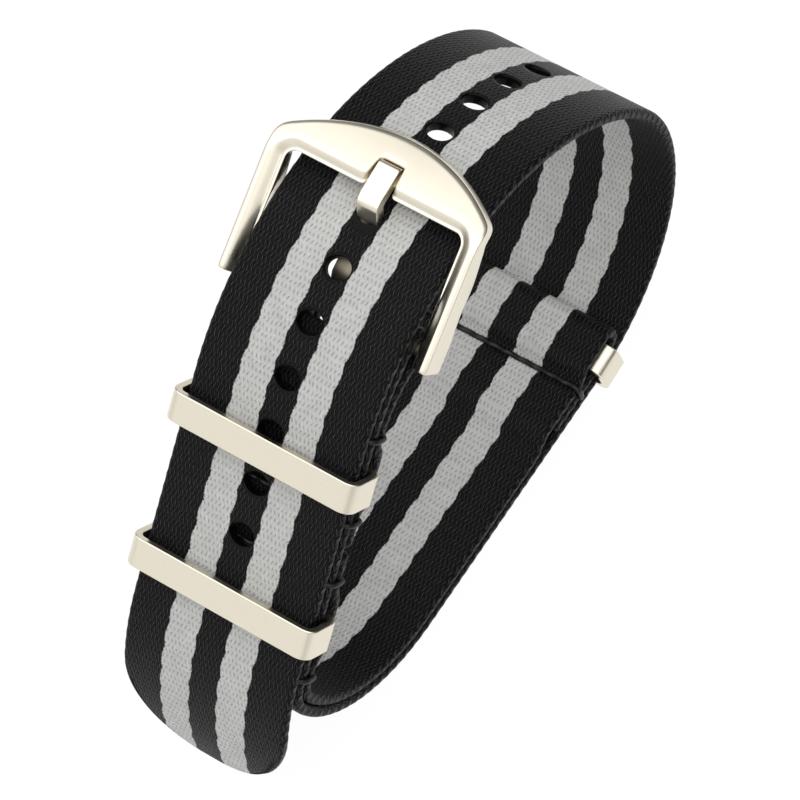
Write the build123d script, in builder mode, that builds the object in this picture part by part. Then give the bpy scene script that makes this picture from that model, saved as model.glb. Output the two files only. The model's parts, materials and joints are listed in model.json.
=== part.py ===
"""A pass-through watch strap of striped nylon webbing, buckled into a loop.

The long strap runs from its rounded tail, under the buckle's arch, round the loop, through the ring
at the back, round the front bend and up under its own tail to the buckle's pin, where it is folded
back and sewn. A short strap carries the watch: it starts beside that fold, follows the inside of the
long strap and ends in a fold round the ring. Two flat keepers sit in the sewn pockets between the
layers and hold the tail down.

X runs across the strap, Y along the stretch that it lies on, Z up. The loop lies on the ring and the
flat stretch where the watch would sit.
"""
import os
from math import atan, atan2, cos, degrees, hypot, radians, sin, sqrt

from build123d import *

# Webbing
strap_width = 22.0
webbing = 1.3
layer_gap = 0.15
half_strap = strap_width / 2
half_webbing = webbing / 2
layer_step = webbing + layer_gap

# Tail and its holes, measured along the webbing from the first hole
hole_count = 12
hole_pitch = 6.4
hole_diameter = 3.0
pulled_hole_stretch = 1.8
pulled_hole_shift = 0.4
hole_in_use = 7
tail_end_straight = 12.0
tail_end_length = 20.7
tail_end_radius = 27.5
tail_gap = 0.35

# The loop: each bend's radius on the webbing's middle, and its turn in degrees
front_straight = 15.0
crown_radius = 31.7
crown_turn = 68.0
shoulder_radius = 36.2
shoulder_turn = 37.0
back_radius = 21.9
back_turn = 120.0
front_radius = 20.3
front_turn = 75.0
lower_radius = 4.75
lower_turn = 60.0

# Keepers and their sewn pockets
band = 3.6
band_thickness = 0.9
band_edge = 0.15
band_corner = 1.6
band_side_gap = 0.45
band_top_gap = 0.8
pocket_play = 0.15
upper_keeper_distance = 10.8
lower_keeper_distance = -7.4
keeper_travel = 0.6
upper_pocket_ends = (6.6, 15.9)
lower_pocket_ends = (-13.0, -1.8)
splice_distance = 2.4
splice_gap = 0.6
fold_lean = 12.0
fold_lean_radius = 12.0

# Ring at the end of the short strap
ring_distance = 2.2
ring_play = 0.3
ring_outer_gap = 0.35
ring_stitch_distance = 2.2
ring_tuck_length = 5.6
ring_tuck_ramp = 4.0
ring_tuck_gap = 0.6

# Sewing thread
thread = 0.5
stitch_count = 11
thread_proud = 0.1

# Buckle pin and the fold round it
pin_diameter = 1.6
pin_seat_depth = 1.5
pin_seat_clearance = 0.02
pin_gap = 0.1
pin_chamfer = 0.2

# Buckle frame, in its own frame: out from the pin's axis towards the arch, and up
frame_dip = 13.0
window_side_gap = 0.35
leg_width = 2.35
window_length = 13.2
window_corner = 1.2
window_past_hole = 3.1
arch_length = 5.9
arch_radius = 25.0
leg_end = 1.9
leg_top = 2.2
leg_bottom = 1.6
lip_height = 0.8
arch_rise_length = 1.3
arch_shoulder_radius = 4.5
arch_shoulder_turn = 34.0
arch_drop = 2.4
arch_thickness = 1.75
frame_corner = 1.6
window_bevel = 1.15
window_bevel_turn = 45.0
rim_chamfer = 0.5
rim_reach = 0.6
rim_shares = (0.1, 0.9)
corner_reach = 1.0

# Prong: places of its middle line, out from the window's far end and up from the pin's axis
prong_width = 2.7
prong_thickness = 1.25
prong_eye_wall = 0.85
prong_running_gap = 0.05
prong_slot_gap = 0.35
knee_back = 4.5
knee_drop = 1.5
shoulder_back = 2.3
shoulder_rise = 1.35
brow_back = 0.7
brow_rise = 1.3
tip_out = 2.5
tip_drop = 0.05
notch_side_gap = 0.3
notch_end_gap = 0.35
notch_floor_gap = 0.04

overrun = 2.0

# The buckle's own sizes that follow from these
window_half = half_strap + window_side_gap
frame_half_width = window_half + leg_width
frame_length = window_length + arch_length
arch_start = window_length - arch_rise_length
prong_knee = (window_length - knee_back, -knee_drop)
prong_shoulder = (window_length - shoulder_back, shoulder_rise)
prong_brow = (window_length - brow_back, brow_rise)
prong_tip = (window_length + tip_out, -tip_drop)
pin_distance = (hole_in_use - 1) * hole_pitch - window_length + window_past_hole


def step(place, length, turn=0.0):
    """The place (y, z, heading) reached along a straight, or along an arc that turns by so many degrees."""
    y, z, heading = place
    if turn == 0:
        return y + length * cos(heading), z + length * sin(heading), heading
    radius = length / radians(turn)
    end = heading + radians(turn)
    return y + radius * (sin(end) - sin(heading)), z - radius * (cos(end) - cos(heading)), end


def beside(place, out):
    """The point that lies out from a place, square to its heading and on its left."""
    y, z, heading = place
    return y - out * sin(heading), z + out * cos(heading)


def walk(place, moves):
    """The place at the end of a list of (length, turn) moves."""
    for length, turn in moves:
        place = step(place, length, turn)
    return place


def bend(radius, turn):
    """The move along an arc: a left turn is positive."""
    return radius * radians(abs(turn)), turn


def jog(run, rise):
    """Two equal arcs that shift a path sideways by the rise over the run, to the left where it is positive."""
    turn = 2 * atan(rise / run)
    radius = run / (2 * sin(abs(turn)))
    return [bend(radius, degrees(turn)), bend(radius, -degrees(turn))]


def draw_beside(place, moves, out):
    """Draws the line that lies out from a path in the open BuildLine."""
    for length, turn in moves:
        end = step(place, length, turn)
        if turn == 0:
            Line(beside(place, out), beside(end, out))
        else:
            ThreePointArc(beside(place, out), beside(step(place, length / 2, turn / 2), out), beside(end, out))
        place = end
    return place


def ribbon_line(place, moves):
    """Draws the closed outline of the webbing's edge along a path in the open BuildLine."""
    end = draw_beside(place, moves, half_webbing)
    Line(beside(end, half_webbing), beside(end, -half_webbing))
    draw_beside(place, moves, -half_webbing)
    Line(beside(place, half_webbing), beside(place, -half_webbing))


def face_plane(place, out=0.0):
    """The plane on the webbing at a place: local x across it, local y along it, normal outwards."""
    y, z = beside(place, out)
    heading = place[2]
    return Plane(origin=(0, y, z), x_dir=(1, 0, 0), z_dir=(0, -sin(heading), cos(heading)))


def side_plane(place, out=0.0):
    """The plane through a place that cuts the strap lengthwise: local x along it, local y outwards."""
    y, z = beside(place, out)
    heading = place[2]
    return Plane(origin=(0, y, z), x_dir=(0, cos(heading), sin(heading)), z_dir=(1, 0, 0))


def cross_plane(place, out=0.0):
    """The plane that cuts the strap across at a place: local x across it, local y outwards."""
    y, z = beside(place, out)
    heading = place[2]
    return Plane(origin=(0, y, z), x_dir=(1, 0, 0), z_dir=(0, -cos(heading), -sin(heading)))


# The loop is closed by the length of the flat stretch: the stack comes back parallel to the tail.
stack_step = webbing + tail_gap
flat_heading = radians(180.0)
loop_out = [(front_straight, 0), bend(crown_radius, -crown_turn), bend(shoulder_radius, -shoulder_turn),
            bend(back_radius, -back_turn)]
loop_back = [bend(front_radius, -front_turn), bend(lower_radius, -lower_turn)]
ring_drop = half_webbing + ring_outer_gap + band_thickness
first_try = (0, 0, radians(crown_turn + shoulder_turn + back_turn) - flat_heading)
out_end = walk(first_try, loop_out)
back_end = walk(out_end, loop_back)
shortfall = beside(first_try, -stack_step)
heading_out = (-sin(first_try[2]), cos(first_try[2]))
missing = sum((shortfall[i] - back_end[i]) * heading_out[i] for i in range(2))
flat_length = missing / (cos(out_end[2]) * heading_out[0] + sin(out_end[2]) * heading_out[1])

# The loop tips a little because the ring lies under its back end.
tip_angle = atan2(ring_outer_gap + band_thickness, flat_length + ring_distance + band / 2)
first_heading = first_try[2] + tip_angle
through_moves = loop_out + [(flat_length, 0)] + loop_back


def reached(place, moves, steps=24):
    """Places all along a path, for its reach."""
    places = [place]
    for length, turn in moves:
        places += [step(place, length * i / steps, turn * i / steps) for i in range(1, steps + 1)]
        place = step(place, length, turn)
    return places


trial_end = walk((0, 0, first_heading), loop_out)
trial_ring = step(trial_end, -ring_distance, degrees(ring_distance / back_radius))
rounding_out = ring_drop - band_edge
lowest = min(beside(step(trial_ring, side * (band / 2 - band_edge)), rounding_out)[1] for side in (-1, 1)) - band_edge
trial_root = step((0, 0, first_heading), -tail_end_straight)
trial_tip = step(trial_root, -tail_end_length, degrees(tail_end_length / tail_end_radius))
tail_in = [bend(tail_end_radius, -degrees(tail_end_length / tail_end_radius)), (tail_end_straight, 0)]
reach = [beside(place, half_webbing)[0] for place in reached(trial_tip, tail_in + through_moves)]
middle_y = (min(reach) + max(reach)) / 2
first_hole = (-middle_y, -lowest, first_heading)


def on_front(length):
    """The place on the front at a length from the first hole."""
    place = first_hole
    if length < 0:
        return step(place, length)
    for part_length, turn in loop_out:
        if length <= part_length:
            return step(place, length, turn * length / part_length)
        place = step(place, part_length, turn)
        length -= part_length
    return place


# Tail tip, walked backwards from the first hole
tail_root = on_front(-tail_end_straight)
tail_tip = step(tail_root, -tail_end_length, degrees(tail_end_length / tail_end_radius))
tip_centre = step(tail_root, half_strap - tail_end_length, degrees((tail_end_length - half_strap) / tail_end_radius))

# The stack under the tail, the fold round the pin and the layer that comes back under it
stack_start = walk(first_hole, through_moves)
stack_first = beside(first_hole, -stack_step)
stack_run = sqrt((stack_start[0] - stack_first[0]) ** 2 + (stack_start[1] - stack_first[1]) ** 2)
pin_turn = degrees((pin_distance - front_straight) / crown_radius)
stack_moves = [(stack_run + front_straight, 0), bend(crown_radius - stack_step, -pin_turn)]
fold_radius = pin_diameter / 2 + pin_gap + half_webbing
fold_start = walk(stack_start, stack_moves)
pin_axis = beside(fold_start, -fold_radius)
pocket_rise = band_thickness + 2 * pocket_play - layer_gap


def pocket(ends, place):
    """Moves along the inner layer past a keeper's pocket, walked from its upper end to its lower one."""
    flat = band + 2 * keeper_travel + 2 * pocket_play
    above = ends[1] - place - flat / 2
    below = place - ends[0] - flat / 2
    return jog(above, pocket_rise) + [(flat, 0)] + jog(below, -pocket_rise)


# After the fold the layer leans in, then turns to run back under the stack.
fold_end = step(fold_start, radians(180 + fold_lean) * fold_radius, -(180 + fold_lean))
lean_turn = bend(fold_lean_radius, pin_turn + fold_lean)
pinched = step(fold_end, *lean_turn)
stack_out = (-sin(first_heading), cos(first_heading))
wanted = beside(first_hole, -stack_step - layer_step)
short_of = sum((wanted[i] - pinched[i]) * stack_out[i] for i in range(2))
pinch_straight = short_of / (cos(fold_end[2]) * stack_out[0] + sin(fold_end[2]) * stack_out[1])
pinched = step(step(fold_end, pinch_straight), *lean_turn)
along = (cos(first_heading), sin(first_heading))
pinched_length = sum((pinched[i] - first_hole[i]) * along[i] for i in range(2))
fold_moves = [bend(fold_radius, -(180 + fold_lean)), (pinch_straight, 0), lean_turn,
              (pinched_length - upper_pocket_ends[1], 0)]
fold_moves += pocket(upper_pocket_ends, upper_keeper_distance)
fold_moves += [(upper_pocket_ends[0] - splice_distance - splice_gap / 2, 0)]

# Short strap, walked from the splice down, round the inside of the bends and back to the ring
inner_first = beside(step(first_hole, splice_distance - splice_gap / 2), -stack_step - layer_step)
short_start = (inner_first[0], inner_first[1], first_heading + radians(180))
short_moves = [(splice_distance - splice_gap / 2 - lower_pocket_ends[1], 0)]
short_moves += pocket(lower_pocket_ends, lower_keeper_distance)
short_moves += [(stack_run + lower_pocket_ends[0], 0)]
short_moves += [bend(lower_radius - layer_step, lower_turn), bend(front_radius - layer_step, front_turn)]
bar_step = webbing + band_thickness + 2 * ring_play
flat_used = ring_stitch_distance + ring_tuck_length + ring_tuck_gap + ring_tuck_ramp
ring_back = degrees(ring_distance / back_radius)
bar_past = degrees((band / 2 + ring_play) / back_radius)
short_moves += [(flat_length - flat_used, 0)]
short_moves += jog(ring_tuck_ramp, layer_step)
short_moves += [(ring_tuck_length + ring_tuck_gap, 0)]
short_moves += jog(ring_stitch_distance, bar_step - layer_step)
short_moves += [bend(back_radius - layer_step - bar_step, ring_back + bar_past)]
short_moves += [bend(bar_step / 2, -180)]
short_moves += [bend(back_radius - layer_step, -(ring_back + bar_past))]
short_moves += [(ring_stitch_distance + ring_tuck_length, 0)]

ring_at = step(walk(first_hole, loop_out), -ring_distance, ring_back)
flat_start = walk(first_hole, loop_out)
ring_bar_out = -(layer_step + bar_step / 2)
ring_axis = beside(ring_at, ring_bar_out)

prong_eye_radius = pin_diameter / 2 + prong_running_gap + prong_eye_wall

# The buckle's own frame starts at the pin's axis.
buckle_at = (pin_axis[0], pin_axis[1], first_heading - radians(frame_dip))
buckle_side = side_plane(buckle_at)
buckle_face = face_plane(buckle_at)


def stitch_row(name, place, low, high):
    """A row of stitches through two layers: threads down through them and round both edges, tied across."""
    middle = face_plane(place, (low + high) / 2)
    reach = (high - low) / 2 + thread_proud
    pitch = (strap_width + thread) / (stitch_count - 1)
    with BuildPart() as row:
        with BuildSketch(middle.offset(-reach)):
            with GridLocations(pitch, thread, stitch_count, 1):
                Circle(thread / 2)
        extrude(amount=2 * reach)
        for shift in (-reach, reach - thread):
            with BuildSketch(middle.offset(shift)):
                Rectangle(strap_width + thread, thread)
            extrude(amount=thread)
    row.part.label = name
    export_step(row.part, f"parts/{name}.step")
    return row.part


def metal_band(name, place, inner_low, inner_high):
    """A flat metal loop round the strap at a place, open between the two heights."""
    with BuildPart() as loop:
        with BuildSketch(cross_plane(place, (inner_low + inner_high) / 2)):
            wide = strap_width + 2 * band_side_gap
            high = inner_high - inner_low
            RectangleRounded(wide + 2 * band_thickness, high + 2 * band_thickness, band_corner)
            RectangleRounded(wide, high, band_corner - band_thickness, mode=Mode.SUBTRACT)
        extrude(amount=band / 2, both=True)
        fillet(loop.edges().filter_by(lambda edge: edge.length > band + band_corner), band_edge)
    loop.part.label = name
    export_step(loop.part, f"parts/{name}.step")


os.makedirs("parts", exist_ok=True)

# Stitching
row_low = -stack_step - layer_step - half_webbing
row_high = -stack_step + half_webbing
front_rows = [("buckle_fold_stitching", upper_pocket_ends[1] + thread),
              ("splice_upper_stitching", upper_pocket_ends[0] - thread),
              ("splice_lower_stitching", lower_pocket_ends[1] + thread),
              ("pocket_end_stitching", lower_pocket_ends[0] - thread)]
rows = [stitch_row(name, on_front(length), row_low, row_high) for name, length in front_rows]
ring_row_place = step(flat_start, ring_stitch_distance + thread)
rows.append(stitch_row("ring_fold_stitching", ring_row_place, -2 * layer_step - half_webbing,
                       -layer_step + half_webbing))

# Long strap
with BuildPart() as long_strap:
    with BuildSketch(Plane.YZ):
        with BuildLine():
            ribbon_line(tail_tip, tail_in + through_moves + stack_moves + fold_moves)
        make_face()
    extrude(amount=half_strap, both=True)
    with BuildSketch(face_plane(tip_centre)):
        with Locations((0, -strap_width / 2)):
            Rectangle(strap_width + overrun, strap_width)
        Circle(half_strap, mode=Mode.SUBTRACT)
    extrude(amount=webbing + overrun, both=True, mode=Mode.SUBTRACT)
    for i in range(hole_count):
        with BuildSketch(face_plane(on_front(i * hole_pitch), -webbing)):
            if i == hole_in_use - 1:
                with Locations((0, -pulled_hole_shift)):
                    SlotCenterToCenter(pulled_hole_stretch, hole_diameter, rotation=90)
            else:
                Circle(hole_diameter / 2)
        extrude(amount=2 * webbing, mode=Mode.SUBTRACT)
    slot_back = prong_eye_radius + prong_slot_gap
    slot_front = fold_radius + half_webbing + overrun
    with BuildSketch(side_plane(fold_start, -fold_radius)):
        with Locations(((slot_front - slot_back) / 2, 0)):
            Rectangle(slot_front + slot_back, 2 * (fold_radius + half_webbing) + tail_gap)
    extrude(amount=prong_width / 2 + prong_slot_gap, both=True, mode=Mode.SUBTRACT)
    for row in rows[:-1]:
        add(row, mode=Mode.SUBTRACT)
long_strap.part.label = "long_strap"
export_step(long_strap.part, "parts/long_strap.step")

# Short strap
with BuildPart() as short_strap:
    with BuildSketch(Plane.YZ):
        with BuildLine():
            ribbon_line(short_start, short_moves)
        make_face()
    extrude(amount=half_strap, both=True)
    for row in rows[2:]:
        add(row, mode=Mode.SUBTRACT)
short_strap.part.label = "short_strap"
export_step(short_strap.part, "parts/short_strap.step")

# Keepers and ring
keeper_low = -stack_step - half_webbing - pocket_play
metal_band("upper_keeper", on_front(upper_keeper_distance), keeper_low, half_webbing + band_top_gap)
metal_band("lower_keeper", on_front(lower_keeper_distance), keeper_low, half_webbing + band_top_gap)
metal_band("strap_ring", ring_at, ring_bar_out + band_thickness / 2, half_webbing + ring_outer_gap)

# The notch in the arch follows the prong's tip.
tip_lean = atan2(prong_tip[1] - prong_brow[1], prong_tip[0] - prong_brow[0])
notch_end = (prong_tip[0] + notch_end_gap * cos(tip_lean), prong_tip[1] + notch_end_gap * sin(tip_lean))
notch_top = (notch_end[0] + prong_thickness / 2, leg_top + overrun)


def on_rim(places):
    """Whether the places, in the buckle's own frame, lie on the top edge of the frame's outer wall."""
    for place in places:
        past = place.Y - (frame_length - arch_radius)
        at_side = abs(abs(place.X) - frame_half_width) < rim_reach
        at_arch = place.Y > arch_start and abs(hypot(place.X, past) - arch_radius) < rim_reach
        fall = max(0, place.Y - arch_start) / (frame_length - arch_start) * (leg_top + arch_drop)
        middle = leg_top - fall - arch_thickness / 2
        if not (at_side or at_arch) or place.Z < middle:
            return False
    return True


# Buckle frame: the side view gives its curve, the plan its outline and window
arch_corner = frame_length - arch_radius + sqrt(arch_radius ** 2 - frame_half_width ** 2)
with BuildPart() as buckle_frame:
    with BuildSketch(buckle_side):
        with BuildLine():
            shoulder = JernArc((arch_start, leg_top), (1, 0), arch_shoulder_radius, -arch_shoulder_turn)
            dome = TangentArc(shoulder @ 1, (frame_length + overrun, -arch_drop - overrun), tangent=shoulder % 1)
            Polyline(shoulder @ 0, (-leg_end, leg_top), (-leg_end, -leg_bottom), (leg_end, -leg_bottom),
                     (window_length, lip_height), (frame_length, -arch_drop - arch_thickness), dome @ 1)
        make_face()
    extrude(amount=frame_half_width, both=True)
    with BuildSketch(buckle_face.offset(-arch_drop - 2 * arch_thickness)):
        with BuildLine():
            Polyline((-frame_half_width, arch_corner), (-frame_half_width, -leg_end), (frame_half_width, -leg_end),
                     (frame_half_width, arch_corner))
            ThreePointArc((frame_half_width, arch_corner), (0, frame_length), (-frame_half_width, arch_corner))
        outline = make_face()
        fillet(outline.vertices().filter_by_position(Axis.Y, arch_corner - corner_reach, arch_corner + corner_reach),
               frame_corner)
    extrude(amount=arch_drop + 2 * arch_thickness + leg_top + overrun, mode=Mode.INTERSECT)
    rim = [edge for edge in buckle_frame.edges()
           if on_rim(buckle_face.to_local_coords(edge @ share) for share in rim_shares)]
    chamfer(rim, rim_chamfer)
    for height, taper in ((-arch_drop - 2 * arch_thickness, 0), (leg_top - window_bevel, -window_bevel_turn)):
        with BuildSketch(buckle_face.offset(height)):
            with Locations((0, (window_length - leg_end - overrun) / 2)):
                opening = Rectangle(2 * window_half, window_length + leg_end + overrun)
            fillet(opening.vertices().sort_by(Axis.Y)[-2:], window_corner)
        extrude(amount=leg_top + overrun - height, taper=taper, mode=Mode.SUBTRACT)
    with BuildSketch(buckle_side):
        Circle(pin_diameter / 2 + pin_seat_clearance)
    extrude(amount=window_half + pin_seat_depth, both=True, mode=Mode.SUBTRACT)
    with BuildSketch(buckle_side):
        with BuildLine():
            offset(Line(prong_brow, notch_end), amount=prong_thickness / 2 + notch_floor_gap, side=Side.BOTH)
        make_face()
        with BuildLine():
            Polyline(prong_brow, notch_end, notch_top, (prong_brow[0], notch_top[1]), close=True)
        make_face()
    extrude(amount=prong_width / 2 + notch_side_gap, both=True, mode=Mode.SUBTRACT)
buckle_frame.part.label = "buckle_frame"
export_step(buckle_frame.part, "parts/buckle_frame.step")

# Pin, pressed between the legs
with BuildPart() as buckle_pin:
    with BuildSketch(buckle_side):
        Circle(pin_diameter / 2)
    extrude(amount=window_half + pin_seat_depth, both=True)
    chamfer(buckle_pin.edges(), pin_chamfer)
buckle_pin.part.label = "buckle_pin"
export_step(buckle_pin.part, "parts/buckle_pin.step")

# Prong: an eye round the pin, and a bar bent up through the hole in use and down into the notch
with BuildPart() as buckle_prong:
    with BuildSketch(buckle_side):
        with BuildLine():
            shank = Polyline((0, 0), prong_knee, prong_shoulder, prong_brow, prong_tip)
            offset(shank, amount=prong_thickness / 2, side=Side.BOTH)
        make_face()
        Circle(prong_eye_radius)
        Circle(pin_diameter / 2 + prong_running_gap, mode=Mode.SUBTRACT)
    extrude(amount=prong_width / 2, both=True)
buckle_prong.part.label = "buckle_prong"
export_step(buckle_prong.part, "parts/buckle_prong.step")
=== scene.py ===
# %% [markdown]
# # A pass-through watch strap
#
# The strap is one long length of striped nylon webbing, buckled into a loop, with a shorter length sewn
# inside it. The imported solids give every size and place. The metal keeps its solids' shapes, and the
# webbing is made here as a flat pattern that is punched while it is flat and then laid along its path,
# because that is how the real one is made and because the weave then follows every bend.

# %% Load the frame
import json
from math import atan, atan2, cos, degrees, pi, radians, sin

import bmesh
import bpy
from mathutils import Matrix, Vector


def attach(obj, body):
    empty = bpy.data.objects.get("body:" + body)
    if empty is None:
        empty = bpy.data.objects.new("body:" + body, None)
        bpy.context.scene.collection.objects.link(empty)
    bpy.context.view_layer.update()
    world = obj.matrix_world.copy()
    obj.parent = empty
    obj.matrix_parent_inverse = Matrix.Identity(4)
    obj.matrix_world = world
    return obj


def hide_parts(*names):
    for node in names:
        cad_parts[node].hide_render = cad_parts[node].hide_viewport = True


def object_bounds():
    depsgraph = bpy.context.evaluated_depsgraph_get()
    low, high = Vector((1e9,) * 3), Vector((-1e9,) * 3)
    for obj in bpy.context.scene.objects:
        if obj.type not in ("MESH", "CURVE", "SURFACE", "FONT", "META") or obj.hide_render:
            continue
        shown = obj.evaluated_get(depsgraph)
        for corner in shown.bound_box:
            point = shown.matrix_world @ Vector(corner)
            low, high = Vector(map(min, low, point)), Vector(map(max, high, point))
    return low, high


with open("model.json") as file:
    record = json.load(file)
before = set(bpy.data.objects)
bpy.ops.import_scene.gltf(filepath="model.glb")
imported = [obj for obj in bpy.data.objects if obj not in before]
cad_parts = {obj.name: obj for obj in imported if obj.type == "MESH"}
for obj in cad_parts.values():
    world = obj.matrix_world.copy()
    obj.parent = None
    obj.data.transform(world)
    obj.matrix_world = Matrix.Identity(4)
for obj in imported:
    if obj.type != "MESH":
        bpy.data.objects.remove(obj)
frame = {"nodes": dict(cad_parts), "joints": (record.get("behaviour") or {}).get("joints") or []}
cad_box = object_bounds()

mm = 0.001
scene = bpy.context.scene

# %% [markdown]
# ## The path of the webbing
#
# Webbing doesn't stretch, so its shape is a path of straights and arcs, each with a length, and a point
# of the flat pattern goes where its length along the path says. A path made of arcs was chosen over a
# drawn curve because every arc has the radius that was measured on the real loop.

# %% Sizes of the webbing and of its path
strap_width = 22.0 * mm
webbing = 1.3 * mm
layer_gap = 0.15 * mm
tail_gap = 0.35 * mm
half_strap = strap_width / 2
half_webbing = webbing / 2
layer_step = webbing + layer_gap
stack_step = webbing + tail_gap

hole_count = 12
hole_pitch = 6.4 * mm
hole_radius = 1.5 * mm
hole_in_use = 7
tail_end_straight = 12.0 * mm
tail_end_length = 20.7 * mm
tail_end_radius = 27.5 * mm

front_straight = 15.0 * mm
crown_radius, crown_turn = 31.7 * mm, 68.0
shoulder_radius, shoulder_turn = 36.2 * mm, 37.0
back_radius, back_turn = 21.9 * mm, 120.0
front_radius, front_turn = 20.3 * mm, 75.0
lower_radius, lower_turn = 4.75 * mm, 60.0

pin_distance = 28.3 * mm
pin_radius = 0.8 * mm
pin_gap = 0.1 * mm
fold_radius = pin_radius + pin_gap + half_webbing
fold_lean = 12.0
fold_lean_radius = 12.0 * mm

# %% Places on a path


def step(place, length, turn=0.0):
    """The place (y, z, heading) reached along a straight, or along an arc that turns by so many degrees."""
    y, z, heading = place
    if turn == 0:
        return y + length * cos(heading), z + length * sin(heading), heading
    radius = length / radians(turn)
    end = heading + radians(turn)
    return y + radius * (sin(end) - sin(heading)), z - radius * (cos(end) - cos(heading)), end


def beside(place, out):
    """The point that lies out from a place, square to its heading and on its left."""
    y, z, heading = place
    return y - out * sin(heading), z + out * cos(heading)


def walk(place, moves):
    """The place at the end of a list of (length, turn) moves."""
    for length, turn in moves:
        place = step(place, length, turn)
    return place


def bend(radius, turn):
    """The move along an arc: a left turn is positive."""
    return radius * radians(abs(turn)), turn


def jog(run, rise):
    """Two equal arcs that shift a path sideways by the rise over the run."""
    turn = 2 * atan(rise / run)
    radius = run / (2 * sin(abs(turn)))
    return [bend(radius, degrees(turn)), bend(radius, -degrees(turn))]


def across(point, start, heading):
    """How far a point lies from a start, square to a heading."""
    return (point[1] - start[1]) * cos(heading) - (point[0] - start[0]) * sin(heading)


def ahead(point, start, heading):
    """How far a point lies from a start, along a heading."""
    return (point[0] - start[0]) * cos(heading) + (point[1] - start[1]) * sin(heading)


def joint(name):
    """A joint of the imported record."""
    return next(item for item in frame["joints"] if item["name"] == name)


# %% [markdown]
# The tail lies along the keepers' slide, and the pin lies a known distance past the tail's first hole, so
# the frame's joints place the path. The flat stretch is the one length that wasn't measured. It could be
# typed in, but here it gets the length that closes the loop, so that the layers meet one step apart.

# %% Place the path by the buckle's pin and the keepers' slide
tail_axis = joint("upper_keeper_slide")["axis"]
pin_at = joint("buckle_hinge")["pos_m"]
first_heading = atan2(tail_axis[2], tail_axis[1])
pin_turn = degrees((pin_distance - front_straight) / crown_radius)
to_pin = [(front_straight, 0), (pin_distance - front_straight, -pin_turn)]
pin_try = beside(walk((0, 0, first_heading), to_pin), -stack_step - fold_radius)
first_hole = (pin_at[1] - pin_try[0], pin_at[2] - pin_try[1], first_heading)

loop_out = [(front_straight, 0), bend(crown_radius, -crown_turn), bend(shoulder_radius, -shoulder_turn),
            bend(back_radius, -back_turn)]
loop_back = [bend(front_radius, -front_turn), bend(lower_radius, -lower_turn)]
flat_start = walk(first_hole, loop_out)
stack_try = walk(flat_start, loop_back)
missing = -stack_step - across(stack_try, first_hole, first_heading)
flat_length = missing / sin(flat_start[2] - first_heading)
through = loop_out + [(flat_length, 0)] + loop_back
stack_start = walk(first_hole, through)
stack_first = beside(first_hole, -stack_step)
stack_run = ahead(stack_first, stack_start, first_heading)
print("first hole", first_hole, "flat stretch", flat_length, "stack", stack_run)

# %% [markdown]
# The long strap is folded round the pin and sewn to itself, and its end is pushed out round the upper
# keeper between two rows of stitches. One arc could draw the fold, but webbing that is sewn shut behind a
# pin leans in on itself. So the fold turns past a half circle, and a wide arc brings it back.

# %% The keepers' pockets and the fold round the pin
band = 3.6 * mm
band_thickness = 0.9 * mm
pocket_play = 0.15 * mm
keeper_travel = 0.6 * mm
upper_keeper_distance = 10.8 * mm
lower_keeper_distance = -7.4 * mm
upper_pocket_ends = (6.6 * mm, 15.9 * mm)
lower_pocket_ends = (-13.0 * mm, -1.8 * mm)
splice_distance = 2.4 * mm
splice_gap = 0.6 * mm
pocket_rise = band_thickness + 2 * pocket_play - layer_gap


def pocket(ends, middle):
    """Moves along the inner layer past a keeper's pocket, walked from its upper end to its lower one."""
    flat = band + 2 * keeper_travel + 2 * pocket_play
    return (jog(ends[1] - middle - flat / 2, pocket_rise) + [(flat, 0)]
            + jog(middle - ends[0] - flat / 2, -pocket_rise))


stack_moves = [(stack_run + front_straight, 0), bend(crown_radius - stack_step, -pin_turn)]
fold_start = walk(stack_start, stack_moves)
fold_turn = bend(fold_radius, -(180 + fold_lean))
fold_end = step(fold_start, *fold_turn)
lean_turn = bend(fold_lean_radius, pin_turn + fold_lean)
pinch_try = step(fold_end, *lean_turn)
short_of = -stack_step - layer_step - across(pinch_try, first_hole, first_heading)
pinch_straight = short_of / sin(fold_end[2] - first_heading)
pinched = step(step(fold_end, pinch_straight), *lean_turn)
pinched_at = ahead(pinched, first_hole, first_heading)
to_upper_pocket = [fold_turn, (pinch_straight, 0), lean_turn, (pinched_at - upper_pocket_ends[1], 0)]
fold_moves = to_upper_pocket + pocket(upper_pocket_ends, upper_keeper_distance)
fold_moves += [(upper_pocket_ends[0] - splice_distance - splice_gap / 2, 0)]
print("fold", fold_start, "pinched", pinched)

# %% [markdown]
# The short strap starts where the long one's end stops, carries the lower keeper's pocket and ends in a
# fold round the ring. A path of its own could drift away from the long strap, so each of its arcs is the
# long strap's own arc, made smaller by the step between the layers.

# %% The short strap's path
ring_distance = 2.2 * mm
ring_play = 0.3 * mm
ring_stitch_distance = 2.2 * mm
ring_tuck_length = 5.6 * mm
ring_tuck_ramp = 4.0 * mm
ring_tuck_gap = 0.6 * mm
ring_back = degrees(ring_distance / back_radius)
bar_past = degrees((band / 2 + ring_play) / back_radius)
bar_step = webbing + band_thickness + 2 * ring_play
flat_used = ring_stitch_distance + ring_tuck_length + ring_tuck_gap + ring_tuck_ramp
short_at = beside(step(first_hole, splice_distance - splice_gap / 2), -stack_step - layer_step)
short_start = (short_at[0], short_at[1], first_heading + pi)
to_lower_pocket = [(splice_distance - splice_gap / 2 - lower_pocket_ends[1], 0)]
past_lower_pocket = to_lower_pocket + pocket(lower_pocket_ends, lower_keeper_distance)
to_ring = past_lower_pocket + [(stack_run + lower_pocket_ends[0], 0)]
to_ring += [bend(lower_radius - layer_step, lower_turn), bend(front_radius - layer_step, front_turn)]
to_ring += [(flat_length - flat_used, 0)]
to_ring += jog(ring_tuck_ramp, layer_step)
to_ring += [(ring_tuck_length + ring_tuck_gap, 0)]
short_moves = to_ring + jog(ring_stitch_distance, bar_step - layer_step)
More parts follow.
